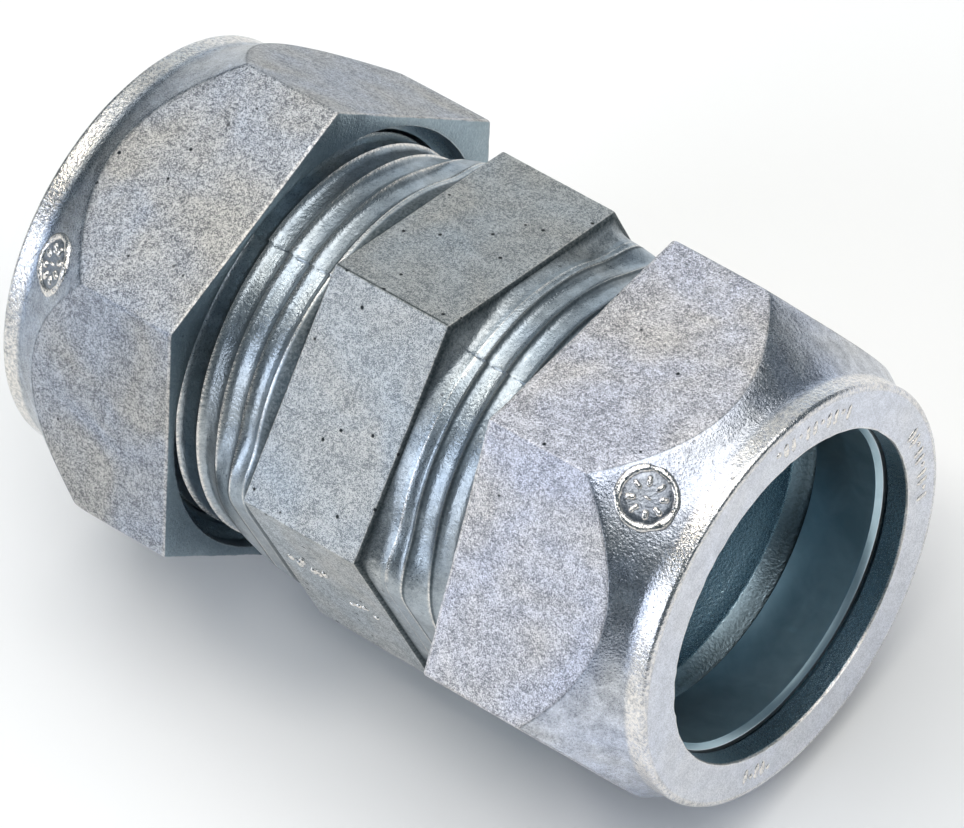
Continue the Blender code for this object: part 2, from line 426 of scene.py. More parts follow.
def body_half_outside(crest_x, seam, neck, shift, run_in, corner_shade):
    """Rows from the middle of the hexagon out to the body's end, for an end along +X.

    seam and neck shape the surface, shift moves the thread along the axis, run_in is how fast its
    first valley deepens, and the last argument is 1 where painted shade fills the corner beside the hexagon.
    """
    def hexagon_row(x, drop, **marks):
        def place(angle):
            xs = x + 0.0 * angle
            return xs, seam(xs, angle, hexagon(BODY_HEX_FLAT_R - drop, angle, BODY_CORNER_ROUND))
        return row(place, **marks)

    edge_x = BODY_HEX_HALF_WIDTH - 0.1 * MM
    rows = [hexagon_row(BODY_HEX_HALF_WIDTH * f, 0.0, dirt=seam_line) for f in (0.1, 0.3, 0.5, 0.7, 0.85)]
    # The ends of the flats are painted with a dark line, and with painted shade where they step down to the
    # neck.
    rows += [
        hexagon_row(edge_x - 0.12 * MM, 0.0, dirt=seam_line),
        hexagon_row(edge_x - 0.05 * MM, 0.01 * MM, wear=0.3),
        hexagon_row(edge_x, 0.03 * MM, dirt=0.9),
        hexagon_row(BODY_HEX_HALF_WIDTH, 0.2 * MM, dirt=1.0),
        hexagon_row(BODY_HEX_HALF_WIDTH + 0.03 * MM, 0.31 * MM, dirt=1.0),
    ]
    fillet_length = 0.9 * MM
    fillet_drop = 0.32 * MM

    def fillet_row(t, dirt):
        def place(angle):
            across = math.sin(0.5 * math.pi * t)
            along = 1.0 - math.cos(0.5 * math.pi * t)
            top = hexagon(BODY_HEX_FLAT_R - fillet_drop, angle, BODY_CORNER_ROUND)
            xs = BODY_HEX_HALF_WIDTH + 0.03 * MM + fillet_length * along + 0.0 * angle
            return xs, neck(xs, angle, CREST_R + (top - CREST_R) * (1.0 - across))
        return row(place, dirt=dirt, thread=0.6)

    # Painted shade fills the corner beside the hexagon and fades along the fillet; on the far end it stays
    # dark across the fillet and onto the neck.
    for t in (0.1, 0.25, 0.4, 0.55, 0.7, 0.85, 1.0):
        fading_shade = 1.0 - 1.4 * t
        rows.append(fillet_row(t, max(corner_shade * (1.0 - 0.15 * t ** 4), fading_shade)))

    def neck_row(x, **marks):
        def place(angle):
            xs = x + 0.0 * angle
            return xs, neck(xs, angle, CREST_R + 0.0 * angle)
        return row(place, thread=1.0, **marks)

    rows.append(neck_row(BODY_THREAD_START - 0.3 * MM, dirt=0.85 * corner_shade))
    rows.append(neck_row(BODY_THREAD_START - 0.18 * MM, dirt=0.1 * corner_shade))
    rows.append(neck_row(BODY_THREAD_START - 0.06 * MM, wear=0.6 * corner_shade))
    rows += thread_rows(
        BODY_THREAD_START,
        BODY_END_X - CLEARANCE,
        crest_x,
        ROOT_R,
        valley_ends=[(BODY_THREAD_START, run_in)],
        crest_ends=[(BODY_END_X - CLEARANCE, RUN_OUT)],
        shift=shift,
        surface=neck,
        shade_and_grime=1.0,
        thread=1.0,
    )
    rows.append(circle_row(BODY_END_X - 0.1 * MM, ROOT_R - 0.02 * MM, thread=1.0))
    rows.append(circle_row(BODY_END_X, ROOT_R - 0.14 * MM, wear=0.5))
    return rows


def body_half_inside():
    """Rows from the body's end back to the conduit stop, for an end along +X."""
    bevel_x = BODY_END_X - MOUTH_DEPTH
    # A faint step, where the core of the die gets narrower
    step_x = 17.4 * MM
    inner_r = BORE_R - 0.06 * MM
    # The mouth's bevel is painted dark, as the shade in the groove behind the ring.
    return [
        circle_row(BODY_END_X, MOUTH_R + 0.1 * MM, wear=0.5),
        circle_row(BODY_END_X - 0.08 * MM, MOUTH_R - 0.02 * MM, inside=1.0, dirt=0.4),
        circle_row(bevel_x + 0.85 * MM, BORE_R + 0.55 * MM, inside=1.0, dirt=0.9),
        circle_row(bevel_x + 0.1 * MM, BORE_R + 0.07 * MM, inside=1.0, dirt=0.55),
        circle_row(bevel_x, BORE_R + 0.02 * MM, inside=1.0),
        circle_row(bevel_x - 0.1 * MM, BORE_R, inside=1.0),
        circle_row(step_x + 0.1 * MM, BORE_R, inside=1.0),
        circle_row(step_x, inner_r, inside=1.0),
        circle_row(0.5 * step_x, inner_r, inside=1.0),
        circle_row(STOP_HALF_WIDTH + 0.15 * MM, inner_r, inside=1.0),
        circle_row(STOP_HALF_WIDTH + 0.02 * MM, inner_r - 0.08 * MM, inside=1.0),
        circle_row(STOP_HALF_WIDTH, STOP_R + 0.15 * MM, inside=1.0),
        circle_row(STOP_HALF_WIDTH - 0.12 * MM, STOP_R + 0.02 * MM, inside=1.0),
    ]


def cast_wave(amount, size, seed):
    """Gentle unevenness of a cast skin. On the outside it only takes material away."""
    def displace(verts, values):
        broad = noise(verts, size, seed)
        fine = noise(verts, 0.31 * size, seed + 1)
        depth = amount * (0.5 - 0.35 * broad - 0.15 * fine)
        keep = 1.0 - 0.7 * values.get("thread", 0.0) - 0.7 * values.get("inside", 0.0)
        return -depth * keep
    return displace


def make_body():
    """Hexagon in the middle, a thread and a flared socket at each end, stop rib in the bore."""
    far = flipped_rows(body_half_outside(
        local_crest(FAR_CREST_X, -BODY_ANGLE),
        seam=mirrored(seam_relief),
        neck=mirrored(neck_surface),
        shift=lambda angle: -seam_slip(-angle),
        run_in=0.5 * RUN_OUT,
        corner_shade=1.0,
    ))
    near = body_half_outside(
        local_crest(NEAR_CREST_X, BODY_ANGLE),
        seam=seam_relief,
        neck=neck_surface,
        shift=seam_slip,
        run_in=RUN_OUT,
        corner_shade=0.0,
    )
    inside = body_half_inside()
    rows = far + near + inside + flipped_rows(inside)
    # Extra columns on both sides of the parting line, in degrees
    step = 0.13
    beside_seam = [30.0 + step * k for k in range(1, 14)] + [390.0 - step * k for k in range(1, 10)]
    beside_seam += [210.0 + step * k for k in range(-9, 14) if k]
    piece = mesh_from_rows("body_casting", rows, columns(beside_seam), cast_wave(0.05 * MM, 4.0 * MM, 11))
    sharpen(piece)
    turn_piece(piece, BODY_ANGLE)
    return piece


# ---------------------------------------------------------------- gland nuts
def scallop_x(angle):
    """Where the cone cuts the hexagon's flats and corners."""
    return CONE_START_X + (NUT_CORNER_R - hexagon(NUT_HEX_FLAT_R, angle)) / CONE_SLOPE


def nut_skin(x, angle):
    """Outside radius of a nut from its inner end to its collar."""
    cone = NUT_CORNER_R - (x - CONE_START_X) * CONE_SLOPE
    radius = soft_min(hexagon(NUT_HEX_FLAT_R, angle, NUT_CORNER_ROUND), cone, 0.16 * MM)
    return soft_max(radius, COLLAR_R - INSET, 0.22 * MM) - INSET


def make_nut(name, crest_x, flipped, seed):
    """Hexagon nut with a coned shoulder, a collar, an inward lip and an internal thread."""
    flats_start_x = NUT_INNER_X + 0.3 * MM
    collar_start_x = COLLAR_X + 0.35 * MM
    collar_end_x = FACE_X - EDGE_ROUND
    collar_r = COLLAR_R - INSET
    outer_face_r = collar_r - EDGE_ROUND

    def flat_row(f, **marks):
        def place(angle):
            x = flats_start_x + f * (scallop_x(angle) - flats_start_x)
            return x, nut_skin(x, angle)
        return row(place, **marks)

    def cone_row(f, **marks):
        def place(angle):
            start = scallop_x(angle)
            x = start + f * (collar_start_x - start)
            return x, nut_skin(x, angle)
        return row(place, **marks)

    def burr_row(across, along, **marks):
        """One row of the worn, ragged edge at the hexagon's inner end."""
        def place(angle):
            ragged = 0.6 + 0.4 * noise_round(angle, 90, seed) + 0.3 * noise_round(angle, 260, seed + 1)
            ragged = np.clip(ragged, 0.15, 1.4)
            burr = 0.16 * MM * ragged
            top = hexagon(NUT_HEX_FLAT_R, angle, NUT_CORNER_ROUND)
            return NUT_INNER_X + along * burr, top - INSET - across * burr
        return row(place, **marks)

    rows = [
        burr_row(1.0, 0.0, inside=0.8, dirt=0.35),
        burr_row(0.35, 0.3, wear=0.3),
        burr_row(0.0, 1.2, wear=0.35),
    ]
    # Rows crowd together where the flats meet the cone, along a crease that is painted dark as shade.
    for f in (0.0, 0.04, 0.1, 0.18, 0.27, 0.36, 0.45, 0.54, 0.63, 0.72, 0.8, 0.87, 0.93, 0.965, 0.985, 1.0):
        rows.append(flat_row(f, dirt=max(0.0, 0.45 - 30.0 * (1.0 - f))))
    for f in (0.015, 0.04, 0.08, 0.14, 0.22, 0.31, 0.4, 0.5, 0.6, 0.7, 0.78, 0.85, 0.9, 0.94, 0.97, 1.0):
        rows.append(cone_row(f, cone=1.0, dirt=0.3 if f < 0.02 else 0.0))
    # The collar and its rounded edge are painted with a warm highlight.
    for f in (0.3, 0.6, 0.9, 1.0):
        x = collar_start_x + f * (collar_end_x - collar_start_x)
        rows.append(circle_row(x, collar_r, cone=1.0, wear=0.7))
    for turn in (15.0, 35.0, 55.0, 75.0, 90.0):
        a = math.radians(turn)
        x = collar_end_x + EDGE_ROUND * math.sin(a)
        radius = outer_face_r + EDGE_ROUND * math.cos(a)
        rows.append(circle_row(x, radius, cone=1.0, wear=0.6))
    for f in (0.06, 0.2, 0.4, 0.6, 0.8, 0.94):
        rows.append(circle_row(FACE_X, outer_face_r + f * (HOLE_R - outer_face_r), face=1.0))

    def hole_row(x, inset, **marks):
        """One row of the ragged edge round the hole."""
        def place(angle):
            ragged = 0.5 + 0.5 * noise_round(angle, 120, seed + 2)
            return x + 0.0 * angle, HOLE_R + 0.12 * MM * inset * ragged
        return row(place, **marks)

    rows += [
        hole_row(FACE_X, 1.0, wear=0.7, face=1.0),
        hole_row(FACE_X - 0.07 * MM, 0.4, wear=0.9),
        circle_row(FACE_X - 0.2 * MM, HOLE_R, inside=1.0),
        circle_row(NUT_OUTER_X - 0.6 * LIP, HOLE_R, inside=1.0),
        circle_row(NUT_OUTER_X - LIP + 0.06 * MM, HOLE_R, inside=1.0),
        circle_row(NUT_OUTER_X - LIP, HOLE_R + 0.06 * MM, inside=1.0),
        circle_row(NUT_OUTER_X - LIP, CAVITY_R - 0.1 * MM, inside=1.0),
        circle_row(NUT_OUTER_X - LIP - 0.1 * MM, CAVITY_R, inside=1.0),
        circle_row(NUT_THREAD_END_X + 2.0 * MM, CAVITY_R, inside=1.0),
        circle_row(NUT_THREAD_END_X + 0.1 * MM, CAVITY_R, inside=1.0),
        circle_row(NUT_THREAD_END_X, CAVITY_R + 0.1 * MM, inside=1.0),
    ]
    thread = thread_rows(
        NUT_THREAD_START_X,
        NUT_THREAD_END_X,
        local_crest(crest_x, NUT_ANGLE),
        ROOT_R + CLEARANCE,
        valley_ends=[(NUT_THREAD_START_X, RUN_OUT), (NUT_THREAD_END_X, RUN_OUT)],
        crest_ends=[],
        thread=1.0,
        inside=1.0,
    )
    rows += thread[::-1]
    rows += [
        circle_row(NUT_INNER_X + 1.1 * MM, NUT_MOUTH_R - 0.15 * MM, inside=1.0),
        circle_row(NUT_INNER_X + 0.9 * MM, NUT_MOUTH_R - 0.02 * MM, inside=0.7),
        circle_row(NUT_INNER_X + 0.15 * MM, NUT_MOUTH_R, inside=0.5),
        circle_row(NUT_INNER_X + 0.02 * MM, NUT_MOUTH_R + 0.05 * MM, inside=0.8, wear=0.4),
        circle_row(NUT_INNER_X, NUT_MOUTH_R + 0.12 * MM, inside=0.8, dirt=0.35),
    ]
    piece = mesh_from_rows(name, rows, columns(), cast_wave(0.06 * MM, 4.5 * MM, seed))
    sharpen(piece)
    turn_piece(piece, NUT_ANGLE, flipped)
    return piece


# ---------------------------------------------------------------- compression rings
def make_ring(name, flipped):
    """Split ring with a back taper that matches the body's mouth, and a lead-in for the conduit."""
    slope = (MOUTH_R - BORE_R) / MOUTH_DEPTH
    shoulder_x = RING_BACK_X + (RING_OUTER_R - RING_BACK_R) / slope
    taper_x = RING_FRONT_X - RING_FRONT_TAPER
    edge = 0.05 * MM
    # The ring's edges carry painted highlight lines, and its front face a painted lighter band.
    rows = [
        circle_row(RING_BACK_X, RING_BACK_R - edge),
        circle_row(RING_BACK_X + edge, RING_BACK_R, wear=1.0),
        circle_row(shoulder_x, RING_OUTER_R - 0.3 * edge),
        circle_row(shoulder_x + edge, RING_OUTER_R),
        circle_row(taper_x - edge, RING_OUTER_R),
        circle_row(taper_x, RING_OUTER_R - 0.3 * edge),
        circle_row(RING_FRONT_X - edge, RING_FRONT_R + 0.4 * edge, wear=1.0),
        circle_row(RING_FRONT_X, RING_FRONT_R - edge, wear=0.5, face=1.0),
        circle_row(RING_FRONT_X, RING_INNER_R + 0.33 * MM, face=1.0),
        circle_row(RING_FRONT_X - 0.04 * MM, RING_INNER_R + 0.27 * MM, wear=0.3),
        circle_row(RING_FRONT_X - 0.34 * MM, RING_INNER_R + 0.05 * MM),
        circle_row(RING_FRONT_X - 0.4 * MM, RING_INNER_R, wear=0.8),
        circle_row(RING_FRONT_X - 0.7 * MM, RING_INNER_R),
        circle_row(0.5 * (RING_FRONT_X + RING_BACK_X), RING_INNER_R),
        circle_row(RING_BACK_X + 2.0 * edge, RING_INNER_R),
        circle_row(RING_BACK_X + edge, RING_INNER_R + 0.3 * edge, wear=1.0),
        circle_row(RING_BACK_X, RING_INNER_R + edge, wear=1.0),
    ]
    half_gap = 0.5 * RING_GAP / RING_INNER_R
    angles = np.linspace(half_gap, TURN - half_gap, 241)
    piece = mesh_from_rows(name, rows, angles, closed=False)
    sharpen(piece, 30.0)
    turn_piece(piece, RING_ANGLE, flipped)
    return piece


# ---------------------------------------------------------------- raised casting marks
# Beads are sunk this far into the skin that carries them.
SUNK = 0.03 * MM
# Points across a bead, from one foot over the top to the other
SECTION = 7


def nut_point(x, angle):
    """A point on a nut's cone and the outward direction there."""
    radius = float(nut_skin(x, np.array(angle))) - SUNK
    step = 0.05 * MM
    ahead = float(nut_skin(x + step, np.array(angle))) - SUNK
    slope = (radius - ahead) / step
    point = Vector((x, -radius * math.sin(angle), radius * math.cos(angle)))
    normal = Vector((slope, -math.sin(angle), math.cos(angle))).normalized()
    return point, normal


def face_point(radius, angle):
    """A point on a nut's end face and the outward direction there."""
    point = Vector((FACE_X - INSET, -radius * math.sin(angle), radius * math.cos(angle)))
    return point, Vector((1.0, 0.0, 0.0))


def hex_point(x, across, flat_angle):
    """A point on one flat of the body's hexagon, across its width from the middle of the flat."""
    out = Vector((0.0, -math.sin(flat_angle), math.cos(flat_angle)))
    side = Vector((0.0, -math.cos(flat_angle), -math.sin(flat_angle)))
    return Vector((x, 0.0, 0.0)) + out * (BODY_HEX_FLAT_R - SUNK) + side * across, out


def bead(path, widths, heights, loop=False):
    """A rounded bead that follows a path of points with their outward directions.

    Gives its vertices, its faces and how much painted shade each vertex carries: the feet do, the top
    doesn't.
    """
    verts, faces = [], []
    n = len(path)
    for k, (point, outward) in enumerate(path):
        before = path[(k - 1) % n][0] if loop or k else point
        after = path[(k + 1) % n][0] if loop or k < n - 1 else point
        along = (after - before).normalized()
        side = along.cross(outward).normalized()
        for j in range(SECTION):
            a = math.radians(-35.0 + 250.0 * j / (SECTION - 1))
            sideways = side * (0.5 * widths[k] * math.cos(a))
            verts.append(point + sideways + outward * (heights[k] * math.sin(a)))
    for k in range(n if loop else n - 1):
        nxt = (k + 1) % n
        for j in range(SECTION):
            i = (j + 1) % SECTION
            faces.append([k * SECTION + j, k * SECTION + i, nxt * SECTION + i, nxt * SECTION + j])
    if not loop:
        faces.append(list(range(SECTION))[::-1])
        faces.append([(n - 1) * SECTION + j for j in range(SECTION)])
    # Painted shade where the bead's feet meet the surface.
    dirt = [1.0 if k % SECTION in (0, SECTION - 1) else 0.0 for k in range(len(verts))]
    return verts, faces, dirt


def stroke(place, start, bend, end, width, height, seed, steps=9):
    """A short bead through three points of a surface, thinner at its ends."""
    path, widths, heights = [], [], []
    for k in range(steps):
        t = k / (steps - 1)
        a, b, c = (1 - t) ** 2, 2 * t * (1 - t), t * t
        u = a * start[0] + b * bend[0] + c * end[0]
        v = a * start[1] + b * bend[1] + c * end[1]
        path.append(place(u, v))
        taper = math.sqrt(max(0.08, 1.0 - (2.0 * t - 1.0) ** 4))
        rough = 1.0 + 0.25 * float(noise(np.array([u, v, 0.1 * MM * seed]), 0.3 * MM, seed))
        widths.append(width * taper * rough)
        heights.append(height * taper * rough)
    return bead(path, widths, heights)


def marks_piece(name, beads, angle, flipped=False):
    """One piece of all the beads of a mark, worn bright on top, with painted shade at their feet."""
    verts, faces, dirt = [], [], []
    for bead_verts, bead_faces, bead_shade_and_dirt in beads:
        base = len(verts)
        verts += bead_verts
        faces += [[base + v for v in face] for face in bead_faces]
        dirt += bead_shade_and_dirt
    dirt = np.array(dirt)
    marks = {"wear": 0.9 * (dirt == 0.0), "dirt": dirt, "cone": np.ones(len(dirt))}
    piece = new_mesh_piece(name, [tuple(v) for v in verts], faces, marks)
    turn_piece(piece, angle, flipped)
    return piece


def pad(place, size):
    """A low disc inside a roundel, painted slightly darker."""
    verts, faces = [], []
    rings = ((1.0, -0.05 * MM), (0.95, 0.07 * MM), (0.6, 0.08 * MM), (0.25, 0.08 * MM))
    count = 42
    for reach, lift in rings:
        for k in range(count):
            turn = TURN * k / count
            point, outward = place(size * reach * math.cos(turn), size * reach * math.sin(turn))
            verts.append(point + outward * lift)
    for level in range(len(rings) - 1):
        low, high = level * count, (level + 1) * count
        for k in range(count):
            nxt = (k + 1) % count
            faces.append([low + k, low + nxt, high + nxt, high + k])
    faces.append([(len(rings) - 1) * count + k for k in range(count)])
    faces.append(list(range(count))[::-1])
    return verts, faces, [0.4] * len(verts)


def round_mark(name, x0, angle0, size, flipped, seed):
    """A plain foundry roundel on the cone: a ring round eight short rays."""
    radius0 = float(nut_skin(x0, np.array(angle0)))
    lean = math.cos(math.atan(CONE_SLOPE))

    def place(u, v):
        return nut_point(x0 + v * lean, angle0 + u / radius0)

    def around(reach, turn):
        return reach * math.cos(turn), reach * math.sin(turn)

    steps = 72
    turns = [TURN * k / steps for k in range(steps)]
    ring = [place(*around(size, turn)) for turn in turns]
    rough = [1.0 + 0.3 * float(noise_round(np.array(turn), 22, seed)) for turn in turns]
    beads = [bead(ring, [0.6 * MM * r for r in rough], [0.25 * MM * r for r in rough], loop=True)]
    rays = 8
    low, high = 0.36 * size, 0.76 * size
    for k in range(rays):
        turn = TURN * (k + 0.5) / rays
        sway = 0.06 * math.sin(3.0 * k + seed)
        start, bend, end = around(low, turn), around(0.5 * (low + high), turn + sway), around(high, turn)
        beads.append(stroke(place, start, bend, end, 0.5 * MM, 0.27 * MM, seed + k))
    pip = 0.12 * MM
    beads.append(stroke(place, (-pip, 0.0), (0.0, 0.0), (pip, 0.0), 0.6 * MM, 0.27 * MM, seed, steps=5))
    beads.append(pad(place, size))
    return marks_piece(name, beads, NUT_ANGLE, flipped)


def face_marks(name, flipped, seed):
    """Long and short raised ticks on a nut's end face, in three groups: they say nothing."""
    beads = []
    groups = ((-34.0, 0.0, 11), (-103.0, -73.0, 10), (150.0, 163.0, 5))
    for first, last, count in groups:
        for k in range(count):
            turn = math.radians(first + (last - first) * (k + 0.5) / count)
            is_long = k % 3 != 1
            low = (0.845 if is_long else 0.885) * COLLAR_R
            high = (0.93 if is_long else 0.915) * COLLAR_R
            bend = (0.5 * (low + high), turn + 0.004)
            beads.append(stroke(face_point, (low, turn), bend, (high, turn + 0.002),
                                0.5 * MM, 0.135 * MM, seed + k, steps=6))
    return marks_piece(name, beads, NUT_ANGLE, flipped)


def body_marks(name, flat_angle):
    """Worn upright dashes and short level ones on one flat of the body's hexagon."""
    def place(u, v):
        return hex_point(u, v, flat_angle)

    beads = []
    width, height = 0.45 * MM, 0.17 * MM
    for k in range(6):
        u = (-3.4 + 0.62 * k) * MM
        v = (-1.6 + 0.5 * math.sin(2.3 * k)) * MM
        start = (u, v - 0.4 * MM)
        bend = (u + 0.25 * MM * math.sin(3.0 * k), v)
        end = (u + 0.1 * MM, v + 0.45 * MM)
        beads.append(stroke(place, start, bend, end, width, height, 40 + k))
    for k in range(4):
        u = (0.9 + 0.7 * k) * MM
        v = (0.9 + 0.4 * math.cos(2.0 * k)) * MM
        start = (u - 0.2 * MM, v)
        bend = (u, v + 0.2 * MM * math.sin(2.0 * k))
        end = (u + 0.28 * MM, v + 0.1 * MM)
        beads.append(stroke(place, start, bend, end, width, height, 60 + k))
    return marks_piece(name, beads, BODY_ANGLE)


# ---------------------------------------------------------------- materials
class Nodes:
    """Short names for making shader nodes."""

    def __init__(self, name):
        self.material = bpy.data.materials.new(name)
        self.material.use_nodes = True
        self.tree = self.material.node_tree
        self.shader = next(n for n in self.tree.nodes if n.type == "BSDF_PRINCIPLED")
        self.coords = self.tree.nodes.new("ShaderNodeTexCoord").outputs["Object"]

    def link(self, value, socket):
        """Feeds a socket from a node, or sets it to a number or a colour."""
        if isinstance(value, (int, float)):
            socket.default_value = value
        elif isinstance(value, tuple):
            socket.default_value = (*value, 1.0)[:len(socket.default_value)]
        else:
            self.tree.links.new(value, socket)

    def noise(self, size, detail, roughness, distortion=0.0, stretch=None):
        """Noise between 0 and 1 with lumps about size across."""
        node = self.tree.nodes.new("ShaderNodeTexNoise")
        coords = self.coords
        if stretch is not None:
            mapping = self.tree.nodes.new("ShaderNodeMapping")
            mapping.inputs["Scale"].default_value = stretch
            self.link(coords, mapping.inputs["Vector"])
            coords = mapping.outputs["Vector"]
        self.link(coords, node.inputs["Vector"])
        node.inputs["Scale"].default_value = 1.0 / size
        node.inputs["Detail"].default_value = detail
        node.inputs["Roughness"].default_value = roughness
        node.inputs["Distortion"].default_value = distortion
        return node.outputs["Fac"]

    def spots(self, spacing, radius, share):
        """1 in scattered round spots; share is the part of the cells that have one."""
        node = self.tree.nodes.new("ShaderNodeTexVoronoi")
        self.link(self.coords, node.inputs["Vector"])
        node.inputs["Scale"].default_value = 1.0 / spacing
        inside = self.remap(node.outputs["Distance"], radius / spacing, 0.65 * radius / spacing)
        split = self.tree.nodes.new("ShaderNodeSeparateColor")
        self.link(node.outputs["Color"], split.inputs["Color"])
        chosen = self.remap(split.outputs["Red"], share + 0.01, share - 0.01)
        return self.math("MULTIPLY", inside, chosen)

    def mark(self, name):
        """A point attribute that the shapes carry."""
        node = self.tree.nodes.new("ShaderNodeAttribute")
        node.attribute_name = name
        return node.outputs["Fac"]

    def math(self, operation, a, b, clamp=False):
        node = self.tree.nodes.new("ShaderNodeMath")
        node.operation = operation
        node.use_clamp = clamp
        self.link(a, node.inputs[0])
        self.link(b, node.inputs[1])
        return node.outputs[0]

    def remap(self, value, low, high, to_low=0.0, to_high=1.0):
        node = self.tree.nodes.new("ShaderNodeMapRange")
        node.interpolation_type = "LINEAR"
        self.link(value, node.inputs["Value"])
        for key, number in (("From Min", low), ("From Max", high), ("To Min", to_low), ("To Max", to_high)):
            node.inputs[key].default_value = number
        return node.outputs["Result"]

    def mix(self, factor, a, b):
        node = self.tree.nodes.new("ShaderNodeMix")
        node.data_type = "RGBA"
        self.link(factor, node.inputs["Factor"])
        self.link(a, node.inputs["A"])
        self.link(b, node.inputs["B"])
        return node.outputs["Result"]

    def tinted(self, a, b):
        """Two colours multiplied."""
        product = self.mix(1.0, a, b)
        product.node.blend_type = "MULTIPLY"
        return product

    def bump(self, height, distance, before=None):
        node = self.tree.nodes.new("ShaderNodeBump")
        node.inputs["Distance"].default_value = distance
        self.link(height, node.inputs["Height"])
        if before is not None:
            self.link(before, node.inputs["Normal"])
        return node.outputs["Normal"]


CAST_ROUGHNESS = 0.46
BORE_SHADE_TONE = (0.40, 0.53, 0.60)
FACE_TONE = (0.88, 0.91, 0.98)
SMOOTH_TINT = (0.9, 0.97, 1.04)
RUBBED_AND_SHEEN_TONE = (0.97, 0.91, 0.83)
SHADE_AND_DIRT_TONE = (0.055, 0.075, 0.085)
PIT_TONE = (0.03, 0.035, 0.04)


def cast_zinc(name, grain, relief, pit_share, dark, light, warm, cool):
    """Die-cast zinc: a speckled dull skin, smoother on its threads and cones, bright where it rubs and where
    highlights are painted, dark where shade is painted.

    grain is the speckle's contrast, relief its height, pit_share the share of pinholes. dark and
    light are the speckle's colours, and warm and cool tint it in broad patches.
    """
    n = Nodes(name)
    fine = n.noise(0.075 * MM, 1.0, 0.5)
    medium = n.noise(0.22 * MM, 2.0, 0.6)
    blotch = n.noise(1.1 * MM, 3.0, 0.6, 0.3)
    patch = n.noise(7.0 * MM, 2.0, 0.5, 0.5)
    thread, cone, inside = n.mark("thread"), n.mark("cone"), n.mark("inside")
    smooth = n.math("MAXIMUM", n.math("ADD", thread, inside, clamp=True), n.math("MULTIPLY", cone, 0.8))
    smooth = n.math("MAXIMUM", smooth, n.math("MULTIPLY", n.mark("face"), 0.3))
    dull = n.math("SUBTRACT", 1.0, smooth)
    pits = n.math("MULTIPLY", n.spots(1.1 * MM, 0.16 * MM, pit_share), n.remap(dull, 0.0, 1.0, 0.25, 1.0))

    speckle = n.math("ADD", n.remap(fine, 0.3, 0.7, -0.58, 0.58), n.remap(medium, 0.3, 0.7, -0.34, 0.34))
    speckle = n.math("MULTIPLY", speckle, n.remap(dull, 0.0, 1.0, 0.25 * grain, grain))
    tone = n.math("ADD", speckle, n.remap(blotch, 0.3, 0.7, 0.28, 0.72), clamp=True)
    colour = n.mix(tone, dark, light)
    colour = n.tinted(colour, n.mix(n.remap(patch, 0.35, 0.65), cool, warm))
    colour = n.tinted(colour, n.mix(smooth, (1.0, 1.0, 1.0), SMOOTH_TINT))
    # Inner surfaces are painted a darker, bluer tone, as the shade inside the bore and the nuts.
    colour = n.mix(n.math("MULTIPLY", inside, 0.85), colour, BORE_SHADE_TONE)
    colour = n.mix(n.math("MULTIPLY", n.mark("face"), 0.5), colour, FACE_TONE)
    # Rubbed places and painted highlights, such as on the thread crests and the collar, in a warm light
    # tone.
    rubbed_and_sheen = n.math("MULTIPLY", n.mark("wear"), n.remap(medium, 0.35, 0.6, 0.25, 1.0), clamp=True)
    colour = n.mix(rubbed_and_sheen, colour, RUBBED_AND_SHEEN_TONE)
    # Painted shade: darkens the corners beside the hexagon, the lines beside thread crests and along the
    # nuts' creases, the mouth's bevel and the feet of raised marks.
    shade_and_grime = n.math("MULTIPLY", n.mark("dirt"), n.remap(medium, 0.3, 0.65, 1.0, 0.8), clamp=True)
    colour = n.mix(shade_and_grime, colour, SHADE_AND_DIRT_TONE)
    colour = n.mix(pits, colour, PIT_TONE)
    n.link(colour, n.shader.inputs["Base Color"])

    roughness = n.remap(dull, 0.0, 1.0, CAST_ROUGHNESS - 0.25, CAST_ROUGHNESS)
    roughness = n.math("ADD", roughness, n.remap(fine, 0.3, 0.7, -0.05, 0.08))
    roughness = n.math("ADD", roughness, n.math("MULTIPLY", shade_and_grime, 0.2))
    roughness = n.math("ADD", roughness, n.math("MULTIPLY", thread, 0.1))
    roughness = n.math("SUBTRACT", roughness, n.math("MULTIPLY", rubbed_and_sheen, 0.12))
    n.link(roughness, n.shader.inputs["Roughness"])
    n.shader.inputs["Metallic"].default_value = 0.97
    broad = n.bump(medium, 0.04 * MM * relief)
    height = n.math("SUBTRACT", n.math("MULTIPLY", fine, n.remap(dull, 0.0, 1.0, 0.25, 1.0)), pits)
    n.link(n.bump(height, 0.025 * MM * relief, broad), n.shader.inputs["Normal"])
    return n.material


def ring_steel(name):
    """Plated spring steel: drawn smooth round the ring, dulled by its oil."""
    n = Nodes(name)
    drawn = n.noise(0.4 * MM, 1.0, 0.5, stretch=(1.0, 0.12, 0.12))
    stain = n.noise(2.2 * MM, 3.0, 0.6, 0.6)
    colour = n.mix(n.remap(stain, 0.3, 0.7), (0.40, 0.54, 0.60), (0.54, 0.68, 0.74))
    # Its edges are painted lighter as highlight lines, and its front face lighter as a painted highlight.
    colour = n.mix(n.mark("wear"), colour, (0.5, 0.66, 0.75))
    colour = n.mix(n.math("MULTIPLY", n.mark("face"), 0.8), colour, (0.76, 0.8, 0.84))
    n.link(colour, n.shader.inputs["Base Color"])
    n.link(n.remap(drawn, 0.3, 0.7, 0.3, 0.36), n.shader.inputs["Roughness"])
    n.shader.inputs["Metallic"].default_value = 0.95
    return n.material


